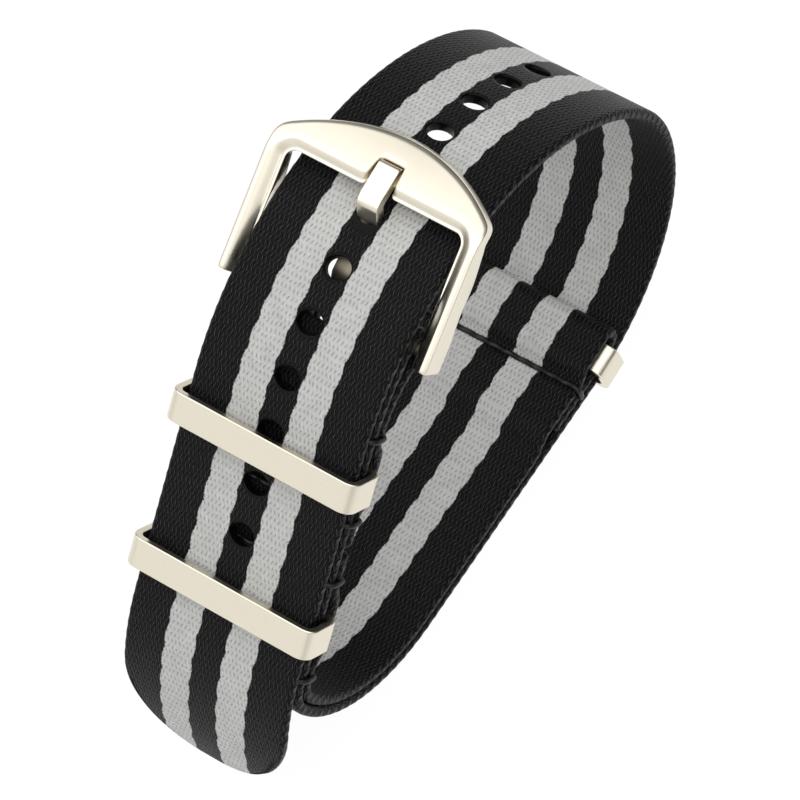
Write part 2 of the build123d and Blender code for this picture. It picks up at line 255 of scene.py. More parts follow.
short_moves += [bend(back_radius - layer_step - bar_step, ring_back + bar_past)]
short_moves += [bend(bar_step / 2, -180)]
short_moves += [bend(back_radius - layer_step, -(ring_back + bar_past))]
short_moves += [(ring_stitch_distance + ring_tuck_length, 0)]

# %% [markdown]
# The tail is held by the keepers alone, so its end bends freely. A drawn curve could give it any bend, but
# evenly stiff webbing bends in one wide arc. All the moves from its tip to the fold's end make the long
# strap.

# %% The tail and the whole long strap
tail_turn = degrees(tail_end_length / tail_end_radius)
tail_tip = step(step(first_hole, -tail_end_straight), -tail_end_length, tail_turn)
tail_moves = [(tail_end_length, -tail_turn), (tail_end_straight, 0)]
tail_to_hole = tail_end_length + tail_end_straight
long_moves = tail_moves + through + stack_moves + fold_moves


def length_of(moves):
    """The length of a list of moves."""
    return sum(length for length, turn in moves)


print("long strap", length_of(long_moves), "short strap", length_of(short_moves))

# %% [markdown]
# ## The webbing's flat pattern
#
# A hole in webbing is burnt through with a hot punch, which leaves a hard, shiny rim. Cutting holes with
# a Boolean would leave long faces that shade badly once the strap bends, so each hole is a window left
# out of a grid, whose edges are extruded inwards in rings until they lie on the hole's own circle.

# %% Grid runs, punched runs and the rounded tip
cell = 0.55 * mm
cells_across = round(strap_width / cell)
hole_rows = 12
window_across, window_rows = 8, 8
hole_rings = (1.95 * mm, 1.7 * mm, hole_radius)
hole_wide, hole_short = 1.04, 0.88
tip_rows = 24
tip_turn = 86.0


def plain_run(sheet, start, end, rows=None):
    """Adds a plain run of the flat pattern, and returns its vertices."""
    rows = rows or max(1, round((end - start) / cell))
    lay = Matrix.Translation((0, (start + end) / 2, 0)) @ Matrix.Diagonal((strap_width, end - start, 1, 1))
    grid = bmesh.ops.create_grid(sheet, x_segments=cells_across, y_segments=rows, size=0.5, matrix=lay)
    return grid["verts"]


def cut_window(sheet, verts, centre, half_x, half_y):
    """Deletes the faces of a run inside a window, and returns the window's edges."""
    inside = set()
    for face in {face for vert in verts for face in vert.link_faces}:
        middle = face.calc_center_median()
        if abs(middle.x) < half_x and abs(middle.y - centre) < half_y:
            inside.add(face)
    edges = {edge for face in inside for edge in face.edges
             if any(other not in inside for other in edge.link_faces)}
    bmesh.ops.delete(sheet, geom=list(inside), context="FACES")
    return [edge for edge in edges if edge.is_valid]


def punched_run(sheet, centre, open_rows=window_rows, stretch=0.0, shift=0.0):
    """Adds a run with one hole, which may be pulled long."""
    verts = plain_run(sheet, centre - hole_pitch / 2, centre + hole_pitch / 2, hole_rows)
    row = hole_pitch / hole_rows
    ring = cut_window(sheet, verts, centre, window_across * cell / 2, open_rows * row / 2)
    for radius in hole_rings:
        grown = bmesh.ops.extrude_edge_only(sheet, edges=ring)["geom"]
        ring = [item for item in grown if isinstance(item, bmesh.types.BMEdge)]
        for vert in {vert for edge in ring for vert in edge.verts}:
            out = Vector((vert.co.x, vert.co.y - centre)).normalized()
            pulled = shift + stretch / 2 * max(-1, min(1, 2 * out.y))
            vert.co = (out.x * radius * hole_wide, centre + out.y * radius * hole_short + pulled, 0)


def round_tip(sheet):
    """Draws the tail's first rows in to a half circle."""
    for vert in sheet.verts:
        if vert.co.y < half_strap:
            turn = (1 - vert.co.y / half_strap) * radians(tip_turn)
            vert.co.x *= cos(turn)
            vert.co.y = half_strap * (1 - sin(turn))


# %% [markdown]
# Webbing is thick enough for its edges to catch the light. A bevelled box would do for a stiff strip, but
# here the holes need soft rims too. So the sheet is given its thickness with solidify, and only then are
# its square edges bevelled: the holes' rims tightly, and the woven selvedges in a wide round.

# %% Give the pattern its thickness and its soft edges
fold_from = length_of(tail_moves + through + stack_moves)
slot_back = 2.05 * mm
slot_ends = (fold_from - slot_back, fold_from + length_of([fold_turn]) + slot_back)
selvedge_round = 0.5 * mm
rim_round = 0.14 * mm
merged_within = 0.01 * mm
square_angle = 1.0
hole_zone = half_strap / 2


def sharp_edges(sheet, wanted):
    """The square edges of the pattern whose middle passes a test."""
    return [edge for edge in sheet.edges
            if edge.calc_face_angle(0) > square_angle and wanted((edge.verts[0].co + edge.verts[1].co) / 2)]


def thicken(sheet):
    """Merges the runs into one sheet and turns it into webbing with rounded selvedges and hole rims."""
    bmesh.ops.remove_doubles(sheet, verts=sheet.verts[:], dist=merged_within)
    bmesh.ops.recalc_face_normals(sheet, faces=sheet.faces[:])
    if sum(face.normal.z for face in sheet.faces) < 0:
        bmesh.ops.reverse_faces(sheet, faces=sheet.faces[:])
    for vert in sheet.verts:
        vert.co.z += half_webbing
    bmesh.ops.solidify(sheet, geom=sheet.faces[:], thickness=webbing)
    middle = sum((vert.co.z for vert in sheet.verts)) / len(sheet.verts)
    for vert in sheet.verts:
        vert.co.z -= middle
    rims = sharp_edges(sheet, lambda at: abs(at.x) < hole_zone and tail_end_length < at.y < slot_ends[1])
    bmesh.ops.bevel(sheet, geom=rims, offset=rim_round, segments=2, profile=0.5, affect="EDGES", material=-1)
    outer = sharp_edges(sheet, lambda at: abs(at.x) > hole_zone or not tail_end_length < at.y < slot_ends[1])
    bmesh.ops.bevel(sheet, geom=outer, offset=selvedge_round, segments=3, profile=0.5, affect="EDGES",
                    material=-1)


# %% [markdown]
# A Curve modifier could bend the pattern, but it takes its lengths from a drawn curve and stretches what
# follows it. Here each point's length along the strap gives its place on the path, so the webbing keeps
# its length, as the real one does.
# The pattern's own millimetres stay with it as a UV map, and an attribute says how near a point lies to
# the burnt rim of a hole or of the tip.

# %% Lay the pattern along its path
selvedge_bump = 0.04 * mm
row_spacing = 0.78 * mm
melt_width = 0.4 * mm
tip_melt = 0.35 * mm
tip_melt_most = 0.7


def place_on(moves, start):
    """A function from a length along the path and a height above it to a point."""
    table = []
    length_so_far = 0.0
    place = start
    for length, turn in moves:
        table.append((length_so_far, length, turn, place))
        length_so_far += length
        place = step(place, length, turn)

    def point(along, out):
        for begin, length, turn, place in table:
            if along <= begin + length:
                break
        part = along - begin
        return beside(step(place, part, turn * part / length), out)

    return point


def linked(name, data):
    """A new object in the scene, for a mesh, a lamp or a camera."""
    thing = bpy.data.objects.new(name, data)
    scene.collection.objects.link(thing)
    return thing


def lay_strap(name, sheet, start, moves, rows, holes=()):
    """Lays the flat pattern along its path, with the pattern's own millimetres as its UV map."""
    point = place_on(moves, start)
    uv = sheet.loops.layers.uv.new("flat")
    melt = sheet.verts.layers.float.new("melt")
    for face in sheet.faces:
        face.smooth = True
        for loop in face.loops:
            loop[uv].uv = (loop.vert.co.x / mm, loop.vert.co.y / mm)
    for vert in sheet.verts:
        x, along, out = vert.co
        rims = [(Vector((x, along)) - Vector((0, hole))).length - reach for hole, reach in holes]
        vert[melt] = max(0.0, 1 - max(0.0, min(rims, default=1)) / melt_width)
        if holes and along < half_strap:
            inward = half_strap - Vector((x, half_strap - along)).length
            vert[melt] = max(vert[melt], tip_melt_most * max(0.0, 1 - max(0.0, inward) / tip_melt))
        for row in rows:
            if out > 0:
                out -= draw_in * max(0.0, 1 - ((along - row) / draw_width) ** 2) ** 2
        edge = max(0.0, abs(x) - half_strap + selvedge_round) / selvedge_round
        x += (1 if x > 0 else -1) * selvedge_bump * edge * sin(pi * along / row_spacing)
        y, z = point(along, out)
        vert.co = (x, y, z)
    mesh = bpy.data.meshes.new(name)
    sheet.to_mesh(mesh)
    sheet.free()
    piece = linked(name, mesh)
    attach(piece, "strap")
    print(name, len(mesh.polygons), "faces")
    return piece


# %% [markdown]
# ## The rows of stitching
#
# Five rows of black thread close the fold, the pockets and the ring's fold. A row of a lockstitch is two
# threads that meet inside the webbing, so on each face it shows as short dashes that dip in at both ends.
# The webbing is drawn in along each row, because a tight thread always sinks into it. A texture could
# fake that dent, but it shows at the strap's edge too, so it is given to the pattern as it is laid.

# %% Where each row lies, and how far it draws the webbing in
thread = 0.5 * mm
draw_in = 0.26 * mm
draw_width = 0.85 * mm
front_rows = {"buckle_fold_stitching": upper_pocket_ends[1] + thread,
              "splice_upper_stitching": upper_pocket_ends[0] - thread,
              "splice_lower_stitching": lower_pocket_ends[1] + thread,
              "pocket_end_stitching": lower_pocket_ends[0] - thread}

stack_from = length_of(tail_moves + through) + stack_run
upper_pocket_from = fold_from + length_of(to_upper_pocket)
upper_pocket_to = length_of(long_moves) - upper_pocket_ends[0] + splice_distance + splice_gap / 2
long_rows = [stack_from + length for length in front_rows.values()]
long_rows += [upper_pocket_from - thread, upper_pocket_to + thread]
short_rows = [length_of(to_lower_pocket) - thread, length_of(past_lower_pocket) + thread,
              length_of(to_ring) - thread]
print("rows on the long strap", long_rows, "on the short strap", short_rows)

# %% [markdown]
# The prong stands in the seventh hole and pulls it long, and the webbing's outer face creeps up to the
# prong there. A longer window in the grid gives the pull. The creep is on one face alone, so it is a
# weighted shift of that face's points, which fades out round the hole.

# %% A hole that the prong leans on
lean_reach = (2.6 * mm, 3.6 * mm)
lean_by = 1.15 * mm
lean_rise = 1.2 * mm


def lean_hole(sheet, centre):
    """Draws the near rim of a hole, on the outer face alone, up to the prong that fills it."""
    for vert in sheet.verts:
        away = Vector((vert.co.x, vert.co.y - centre)).length
        if vert.co.z > 0 and vert.co.y < centre and away < lean_reach[1]:
            weight = min(1.0, (lean_reach[1] - away) / (lean_reach[1] - lean_reach[0]))
            vert.co.y += lean_by * weight * min(1.0, (centre - vert.co.y) / lean_rise)


# %% [markdown]
# The long strap goes from the rounded tip, past twelve punched holes and round the loop, to the fold,
# which has a slot for the prong. It could be drawn in pieces, but it is one length of webbing, so its runs
# are merged into one sheet before it is thickened and laid.

# %% The long strap
pulled_rows = 10
pulled_stretch = 0.7 * mm
pulled_shift = -0.45 * mm
slot_half_width = 3 * cell

sheet = bmesh.new()
plain_run(sheet, 0, half_strap, tip_rows)
round_tip(sheet)
plain_run(sheet, half_strap, tail_to_hole - hole_pitch / 2)
holes = []
for i in range(hole_count):
    centre = tail_to_hole + i * hole_pitch
    if i == hole_in_use - 1:
        punched_run(sheet, centre, pulled_rows, pulled_stretch, pulled_shift)
        holes.append((centre + pulled_shift, hole_radius + pulled_stretch / 4))
    else:
        punched_run(sheet, centre)
        holes.append((centre, hole_radius))
plain_run(sheet, tail_to_hole + (hole_count - 0.5) * hole_pitch, slot_ends[0])
slotted = plain_run(sheet, *slot_ends)
cut_window(sheet, slotted, sum(slot_ends) / 2, slot_half_width, (slot_ends[1] - slot_ends[0]) / 2)
plain_run(sheet, slot_ends[1], length_of(long_moves))
thicken(sheet)
lean_hole(sheet, tail_to_hole + (hole_in_use - 1) * hole_pitch)
long_strap = lay_strap("long_strap_webbing", sheet, tail_tip, long_moves, long_rows, holes)
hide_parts("long_strap")

# %% [markdown]
# The short strap is a plain strip with no holes. A plain box could be bent for it, but it is made in the
# same way as the long strap, so that both have one thickness, one weave and one kind of edge.

# %% The short strap
sheet = bmesh.new()
plain_run(sheet, 0, length_of(short_moves))
thicken(sheet)
short_strap = lay_strap("short_strap_webbing", sheet, short_start, short_moves, short_rows)
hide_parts("short_strap")

# %% [markdown]
# A thread could be a row of separate dashes, but then its ends would show where it dives. One closed NURBS
# line with a round bevel draws the dashes on both faces and the turn round each selvedge. It is drawn a
# little thicker than the real thread, which spreads where it lies on the webbing.

# %% One closed thread for each row
thread_drawn = 0.68 * mm
stitch_count = 11
dip = 0.28 * mm
sunk = 0.05 * mm
dash_shares = ((0.0, dip), (0.28, sunk), (0.5, 0.0), (0.72, sunk))
selvedge_clear = 0.2 * mm
row_reach = half_strap + selvedge_clear
row_low = -stack_step - layer_step - half_webbing
row_high = -stack_step + half_webbing


def thread_row(name, place, low, high):
    """Sews a row across the strap: dashes on both faces, joined round the selvedges."""
    pitch = 2 * half_strap / stitch_count
    face = [(-half_strap + i * pitch + pitch * share, depth)
            for i in range(stitch_count) for share, depth in dash_shares]
    there = [(x, high - depth) for x, depth in face]
    back = [(-x, low + depth) for x, depth in face]
    middle = (low + high) / 2
    turn = [(row_reach, high - thread), (row_reach, middle), (row_reach, low + thread)]
    points = there + turn + back + [(-x, 2 * middle - height) for x, height in turn]
    data = bpy.data.curves.new(name, "CURVE")
    data.dimensions = "3D"
    data.bevel_depth = thread_drawn / 2
    data.bevel_resolution = 2
    data.resolution_u = 3
    line = data.splines.new("NURBS")
    line.points.add(len(points) - 1)
    line.order_u = 4
    line.use_cyclic_u = True
    for point, (x, out) in zip(line.points, points):
        y, z = beside(place, out)
        point.co = (x, y, z, 1)
    drawn = bpy.data.objects.new(name + "_line", data)
    piece = linked(name + "_thread", bpy.data.meshes.new_from_object(drawn))
    bpy.data.objects.remove(drawn)
    for face in piece.data.polygons:
        face.use_smooth = True
    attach(piece, "strap")
    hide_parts(name)
    print(name, len(points), "points", len(piece.data.polygons), "faces")
    return piece


threads = [thread_row(name, step(first_hole, length), row_low, row_high)
           for name, length in front_rows.items()]
ring_row = step(flat_start, ring_stitch_distance + thread)
threads.append(thread_row("ring_fold_stitching", ring_row, -2 * layer_step - half_webbing,
                          -layer_step + half_webbing))

# %% [markdown]
# ## The metal's soft edges
#
# The buckle, keepers and ring are steel that was tumbled after it was cut, so no edge of theirs is
# sharp: each carries a thin polished line. The solids' flat faces meet in mathematical edges, which
# catch no light at all. So a copy of each solid is merged, its triangles are dissolved into whole faces,
# and every edge is bevelled by about a tenth of a millimetre. The copy is scaled to millimetres for that,
# because the operators' own limits are meant for sizes near one.

# %% A softened copy of a solid
edge_round = 0.12
edge_segments = 3
even_weight = 80
joined_within = 0.002
flat_within = radians(1.0)
sharp_past = radians(24)
# The third slot is the steel with painted shade on the prong's bar.
polished_slot, painted_shade_slot = 1, 2


def softened(name, body):
    """A copy of a metal solid with its edges bevelled, and its bevels marked as the polished finish."""
    sheet = bmesh.new()
    sheet.from_mesh(frame["nodes"][name].data)
    bmesh.ops.scale(sheet, vec=(1 / mm, 1 / mm, 1 / mm), verts=sheet.verts[:])
    bmesh.ops.remove_doubles(sheet, verts=sheet.verts[:], dist=joined_within)
    bmesh.ops.dissolve_limit(sheet, angle_limit=flat_within, verts=sheet.verts[:], edges=sheet.edges[:])
    sharp = [edge for edge in sheet.edges if edge.is_manifold and edge.calc_face_angle(0) > sharp_past]
    cut = bmesh.ops.bevel(sheet, geom=sharp, offset=edge_round, segments=edge_segments, profile=0.5,
                          affect="EDGES", material=-1, clamp_overlap=True)
    for face in cut["faces"]:
        face.material_index = polished_slot
    for face in sheet.faces:
        face.smooth = True
    bmesh.ops.scale(sheet, vec=(mm, mm, mm), verts=sheet.verts[:])
    mesh = bpy.data.meshes.new(name + "_soft")
    sheet.to_mesh(mesh)
    sheet.free()
    piece = linked(name + "_soft", mesh)
    even = piece.modifiers.new("even normals", "WEIGHTED_NORMAL")
    even.keep_sharp = False
    even.weight = even_weight
    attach(piece, body)
    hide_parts(name)
    print(name, len(sharp), "edges softened,", len(mesh.polygons), "faces")
    return piece


pin = softened("buckle_pin", "buckle")
prong = softened("buckle_prong", "prong")
bands = [softened("upper_keeper", "upper_keeper"), softened("lower_keeper", "lower_keeper"),
         softened("strap_ring", "ring")]

# %% [markdown]
# ## The buckle's frame
#
# The frame is a casting: its top is softly domed, rolls down into a hollow round the window and ends in a
# thin raised lip there, and a narrow flat runs round its outside. A bevel on the solid can't give a
# hollow and a lip, so the frame is a grid, one row for each station from one leg's end round the arch to
# the other's, and one column for each point of the section. The section's heights hang from the solid's
# own top and underside, so the casting stays where the solid is.

# %% The frame's sizes, out from the pin's axis and up, and its profile seen from the side
frame_dip = 13.0
window_play = 0.35 * mm
window_half = half_strap + window_play
window_length = 13.2 * mm
window_corner = 1.2 * mm
leg_width = 2.35 * mm
arch_width = 5.9 * mm
frame_half = window_half + leg_width
frame_length = window_length + arch_width
arch_radius = 25.0 * mm
arch_overlap = 1.3 * mm
arch_start = window_length - arch_overlap
leg_end, leg_top, leg_bottom = 1.9 * mm, 2.2 * mm, 1.6 * mm
shoulder, shoulder_lean = 4.5 * mm, radians(34.0)
shoulder_end = (arch_start + shoulder * sin(shoulder_lean), leg_top - shoulder * (1 - cos(shoulder_lean)))
dome_radius = 35.9 * mm
dome_centre = (shoulder_end[0] - dome_radius * sin(shoulder_lean),
               shoulder_end[1] - dome_radius * cos(shoulder_lean))
under = ((leg_end, -leg_bottom), (window_length, 0.8 * mm), (frame_length, -4.15 * mm))
print("frame", 2 * frame_half, "wide and", frame_length, "out from the pin")


def frame_top(out):
    """The height of the frame's top at a distance out."""
    if out < arch_start:
        return leg_top
    if out < shoulder_end[0]:
        return leg_top - shoulder + (shoulder ** 2 - (out - arch_start) ** 2) ** 0.5
    return dome_centre[1] + (dome_radius ** 2 - (out - dome_centre[0]) ** 2) ** 0.5


# The legs are deepest near the arch. Their underside drops by corner_drop: the drop starts, is full, fades
# and stops at these distances out, and it comes in between these two widths, clear of the webbing.
corner_drop = 1.1 * mm
drop_starts, drop_full, drop_fades, drop_stops = 4.5 * mm, 8.5 * mm, 12.6 * mm, 15.5 * mm
drop_outside = (window_half - 0.25 * mm, window_half - 0.02 * mm)


def ramp(value, low, high):
    """A straight ramp from 0 to 1 between two values."""
    return min(1.0, max(0.0, (value - low) / (high - low)))


def frame_under(plan):
    """The height of the frame's underside at a place in plan."""
    out = max(plan.y, under[0][0])
    first, last = (under[0], under[1]) if out < under[1][0] else (under[1], under[2])
    drop = corner_drop * ramp(out, drop_starts, drop_full) * (1 - ramp(out, drop_fades, drop_stops))
    drop *= ramp(abs(plan.x), *drop_outside)
    return first[1] + (last[1] - first[1]) * (out - first[0]) / (last[0] - first[0]) - drop


# %% The stations: an inner point on the window and an outer one on the outline
corner_at = (-window_half + window_corner, window_length - window_corner)
notch_half = 1.65 * mm
notch_back = 14.45 * mm
notch_step = 0.04 * mm
corner_sharpness = 16
leg_places = [out * mm for out in (-1.9, -1.75, -0.8, 0.6, 2.0, 3.5, 5.0, 6.5, 8.0, 9.3, 10.4, 11.3)]
corner_steps, arch_steps = 10, 10
nearly_zero = 1e-6


def arch_edge(x):
    """How far out the arch's edge lies at a distance across."""
    return frame_length - arch_radius + (arch_radius ** 2 - x ** 2) ** 0.5


def corner_ray(turn):
    """The window's edge and the outline on one ray from the centre of the window's left corner."""
    along = Vector((cos(turn), sin(turn)))
    middle = Vector(corner_at)
    from_arch = middle - Vector((0, frame_length - arch_radius))
    slope = from_arch.dot(along)
    to_arch = -slope + (slope ** 2 - from_arch.length_squared + arch_radius ** 2) ** 0.5
    to_side = (frame_half + corner_at[0]) / max(nearly_zero, -along.x)
    reach = (to_arch ** -corner_sharpness + to_side ** -corner_sharpness) ** (-1 / corner_sharpness)
    return middle + window_corner * along, middle + reach * along


left = [(Vector((-window_half, out)), Vector((-frame_half, out)), "end" if out == leg_places[0] else "leg")
        for out in leg_places]
left += [(*corner_ray(pi - i * pi / (2 * corner_steps)), "corner") for i in range(corner_steps + 1)]
arch_places = [corner_at[0] + (i + 1) * (-notch_half - corner_at[0]) / arch_steps for i in range(arch_steps)]
left += [(Vector((x, window_length)), Vector((x, arch_edge(x))), "arch") for x in arch_places]
left += [(Vector((x, notch_back)), Vector((x, arch_edge(x))), "notch")
         for x in (-notch_half + notch_step, -notch_half / 2)]
middle_station = (Vector((0, notch_back)), Vector((0, arch_edge(0))), "notch")
right = [(Vector((-inner.x, inner.y)), Vector((-outer.x, outer.y)), kind)
         for inner, outer, kind in reversed(left)]
stations = left + [middle_station] + right
print(len(stations), "stations")

# %% The section: a lip, a hollow, the domed top, a narrow flat and the walls
from_inside = [(0.0, 1.12), (0.08, 1.0), (0.28, 1.0), (0.42, 0.95), (0.85, 0.55), (1.25, 0.2), (1.5, 0.04)]
notch_inside = [0.0, 0.3, 0.6, 0.9, 1.2, 1.5, 1.58]
from_outside = [(0.6, 0.0), (0.42, 0.0), (0.3, 0.02), (0.05, 0.17), (0.0, 0.3)]
dome_shares = (0.25, 0.5, 0.75)
polished_columns = (0, 1, 2, 13)
notch_end = 16.05 * mm
prong_line = ((12.5 * mm, 1.3 * mm), (15.7 * mm, -0.05 * mm))
prong_half_height = 0.72 * mm
thinnest = 0.1 * mm
outer_chamfer = 0.3 * mm
inner_chamfer = (0.2 * mm, 0.15 * mm)
notch_chamfer_share = 0.5
end_shares = (0.88, 0.93)


def section(inner, outer, kind):
    """The section's points at a station, as (place in plan, height), from the lip round to the lip."""
    wide = (outer - inner).length
    along = (outer - inner).normalized()
    inside, outside = from_inside[-1][0] * mm, from_outside[0][0] * mm
    spread = [inside + (wide - inside - outside) * share for share in dome_shares]
    if kind == "notch":
        top = [(place * mm, 0.0) for place in notch_inside]
    else:
        top = [(place * mm, depth * mm) for place, depth in from_inside]
    top += [(place, 0.0) for place in spread]
    top += [(wide - place * mm, depth * mm) for place, depth in from_outside]
    rise = (prong_line[1][1] - prong_line[0][1]) / (prong_line[1][0] - prong_line[0][0])
    points = []
    for place, depth in top:
        plan = inner + place * along
        height = frame_top(plan.y) - depth
        if kind == "notch" and plan.y < notch_end:
            height = prong_line[0][1] + rise * (plan.y - prong_line[0][0]) - prong_half_height
        points.append((plan, max(height, frame_under(plan) + thinnest)))
    underside = [(wide, outer_chamfer), (wide - outer_chamfer, 0), (wide / 2, 0), (inner_chamfer[0], 0),
                 (0, inner_chamfer[1])]
    for place, up in underside:
        plan = inner + place * along
        points.append((plan, frame_under(plan) + up * (notch_chamfer_share if kind == "notch" else 1)))
    if kind == "end":
        middle = (inner + outer) / 2
        centre = (leg_top - leg_bottom) / 2
        points = [(middle + (plan - middle) * end_shares[0], centre + (height - centre) * end_shares[1])
                  for plan, height in points]
    return points


# %% [markdown]
# Rings of points could be bridged one by one. Here one grid is created, and each of its points is sent to
# its station and column, with the last column on the first, which closes the section. Then the legs' open
# ends are filled, and Subdivision Surface makes it as smooth as a casting.

# %% Cast the frame
smooth_levels = 2
seam_closed_within = 0.001 * mm
buckle_heading = first_heading - radians(frame_dip)
pin_centre = Vector((0, pin_at[1], pin_at[2]))
sideways = Vector((1, 0, 0))
outward = Vector((0, cos(buckle_heading), sin(buckle_heading)))
upward = Vector((0, -sin(buckle_heading), cos(buckle_heading)))

rings = [section(*station) for station in stations]
columns = len(rings[0])
sheet = bmesh.new()
bmesh.ops.create_grid(sheet, x_segments=len(stations) - 1, y_segments=columns, size=0.5)
for face in sheet.faces:
    column = int((face.calc_center_median().y + 0.5) * columns)
    face.material_index = polished_slot if column in polished_columns else 0
    face.smooth = True
for vert in sheet.verts:
    row = round((vert.co.x + 0.5) * (len(stations) - 1))
    column = round((vert.co.y + 0.5) * columns) % columns
    plan, height = rings[row][column]
    vert.co = pin_centre + plan.x * sideways + plan.y * outward + height * upward
bmesh.ops.remove_doubles(sheet, verts=sheet.verts[:], dist=seam_closed_within)
bmesh.ops.holes_fill(sheet, edges=[edge for edge in sheet.edges if edge.is_boundary], sides=0)
bmesh.ops.recalc_face_normals(sheet, faces=sheet.faces[:])
mesh = bpy.data.meshes.new("cast_frame")
sheet.to_mesh(mesh)
sheet.free()
cast_frame = linked("cast_frame", mesh)
smoother = cast_frame.modifiers.new("smoother", "SUBSURF")
smoother.levels = smooth_levels
smoother.render_levels = smooth_levels
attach(cast_frame, "buckle")
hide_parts("buckle_frame")
print("cast frame", columns, "points in a section,", len(mesh.polygons), "faces before smoothing")

# %% [markdown]
# The prong is a bent strip. Its bar runs close under the webbing, in shade, which is painted into the bar as
# a darker, duller steel, and its front rises straight to one crease. The solid's bar is straight and its
# front has a flat. A new prong could be made, but cutting the softened copy across, lifting its bar a little
# and narrowing its flat keeps its eye and its sides as they are.

# %% Bend the prong
prong_knee, prong_shoulder, prong_brow = 8.7 * mm, 10.9 * mm, 12.5 * mm
crease_shift = 1.0 * mm
bar_lift = 1.1 * mm
lift_starts, lift_full, lift_fades = 1.7 * mm, 3.4 * mm, 5.2 * mm
bar_cuts = (2.4 * mm, 3.4 * mm, 4.3 * mm, 5.2 * mm, 6.9 * mm)
bar_ends = (1.5 * mm, 8.9 * mm)

strip = bmesh.new()
strip.from_mesh(prong.data)
for cut in bar_cuts:
    bmesh.ops.bisect_plane(strip, geom=strip.verts[:] + strip.edges[:] + strip.faces[:],
                           plane_co=pin_centre + cut * outward, plane_no=outward)
for vert in strip.verts:
    out = (vert.co - pin_centre).dot(outward)
    lift = bar_lift * ramp(out, lift_starts, lift_full) * (1 - ramp(out, lift_fades, prong_knee))
    forward = min(ramp(out, prong_knee, prong_shoulder), 1 - ramp(out, prong_shoulder, prong_brow))
    vert.co += lift * upward + crease_shift * forward * outward
# The bar's faces under the webbing get the steel with painted shade.
for face in strip.faces:
    out = (face.calc_center_median() - pin_centre).dot(outward)
    if bar_ends[0] < out < bar_ends[1]:
        face.material_index = painted_shade_slot
strip.to_mesh(prong.data)
strip.free()
print("prong", len(prong.data.vertices), "points, lifted by up to", bar_lift)

# %% [markdown]
# ## Materials
#
# Each finish is built from nodes. A node is added with its settings and its links in one call, so that a
# material reads like a recipe. Inputs with a name of their own are called by it, and the others by their
# number: Math counts from 0, a Mix of colours has its factor at 0 and its colours at 6 and 7, and Map
# Range has its value at 0, the range it comes from at 1 and 2 and the one it goes to at 3 and 4.

# %% One way to add a node, and one to start a material


def linear(hex_colour):
    """A colour written in sRGB hex, as linear light."""
    values = [int(hex_colour[i:i + 2], 16) / 255 for i in (1, 3, 5)]
    return [v / 12.92 if v <= 0.04045 else ((v + 0.055) / 1.055) ** 2.4 for v in values] + [1.0]


def add_node(tree, kind, inputs=None, **settings):
    """Adds a node with its settings, and its inputs as values or as links from other nodes' sockets."""
    node = tree.nodes.new(kind)
    for name, value in settings.items():
        setattr(node, name, value)
    for name, value in (inputs or {}).items():
        if isinstance(value, bpy.types.NodeSocket):
            tree.links.new(value, node.inputs[name])
        else:
            node.inputs[name].default_value = value
    return node


def new_material(name):
    """An empty material, with its tree and its shader."""
    material = bpy.data.materials.new(name)
    material.use_nodes = True
    return material, material.node_tree, material.node_tree.nodes["Principled BSDF"]


# %% [markdown]
# ### The striped nylon
#
# The webbing is nylon, woven like a seat belt: long floats of bright yarn lie side by side in columns, with
# small dark pits where they dive under. Real threads would need millions of faces, so the weave is a height
# pattern on the strap's own flat map, in millimetres, that drives both the bump and the painted shade and
# highlights in the colour.
# It starts with the cords, which wander a little and lean to one side and the other from row to row.

# %% The cords
column_spacing_mm = 0.53
row_spacing_mm = row_spacing / mm
drift_per_mm, drift_mm = 0.55, 0.9
shake_per_mm, shake_mm = 1.7, 0.16
lean_mm = 0.07

nylon, tree, shader = new_material("striped_nylon_webbing")
flat = add_node(tree, "ShaderNodeUVMap", uv_map="flat").outputs[0]
parts = add_node(tree, "ShaderNodeSeparateXYZ", {0: flat})
across_mm, along_mm = parts.outputs[0], parts.outputs[1]
drift = add_node(tree, "ShaderNodeTexNoise",
                 {"Vector": flat, "Scale": drift_per_mm, "Detail": 3.0}).outputs[0]
strayed = add_node(tree, "ShaderNodeMath", {0: drift, 1: drift_mm, 2: along_mm},
                   operation="MULTIPLY_ADD").outputs[0]
wave = add_node(tree, "ShaderNodeMath", {0: strayed, 1: pi / row_spacing_mm},
                operation="MULTIPLY").outputs[0]
lean = add_node(tree, "ShaderNodeMath", {0: wave}, operation="SINE").outputs[0]
leaned = add_node(tree, "ShaderNodeMath", {0: lean, 1: lean_mm, 2: across_mm},
                  operation="MULTIPLY_ADD").outputs[0]
jitter = add_node(tree, "ShaderNodeTexNoise",
                  {"Vector": flat, "Scale": shake_per_mm, "Detail": 2.0}).outputs[0]
shaken = add_node(tree, "ShaderNodeMath", {0: jitter, 1: shake_mm, 2: leaned},
                  operation="MULTIPLY_ADD").outputs[0]
column = add_node(tree, "ShaderNodeMath", {0: shaken, 1: 2 * pi / column_spacing_mm},
                  operation="MULTIPLY").outputs[0]
doubled = add_node(tree, "ShaderNodeMath", {0: column, 1: 2.0}, operation="MULTIPLY").outputs[0]
cords = add_node(tree, "ShaderNodeMath", {0: doubled}, operation="COSINE").outputs[0]
print("cords", column_spacing_mm / 2, "mm apart, rows", row_spacing_mm, "mm apart")

# %% [markdown]
# Where a cord dives, its neighbours stand up. One wave across times one wave along gives such a
# chequerboard, which is high where the pits are and low between them. A little noise makes the pits
# Between the pits the yarn's crowns catch the light, and the colour gets a painted highlight there.

# %% Pits and crowns
fuzz_per_mm = 3.4
pit_fuzz, pit_bias = 0.9, 0.45
crown_part = 0.5
pit_from, pit_to = 0.3, 1.0
crown_from, crown_to = 0.55, 1.45

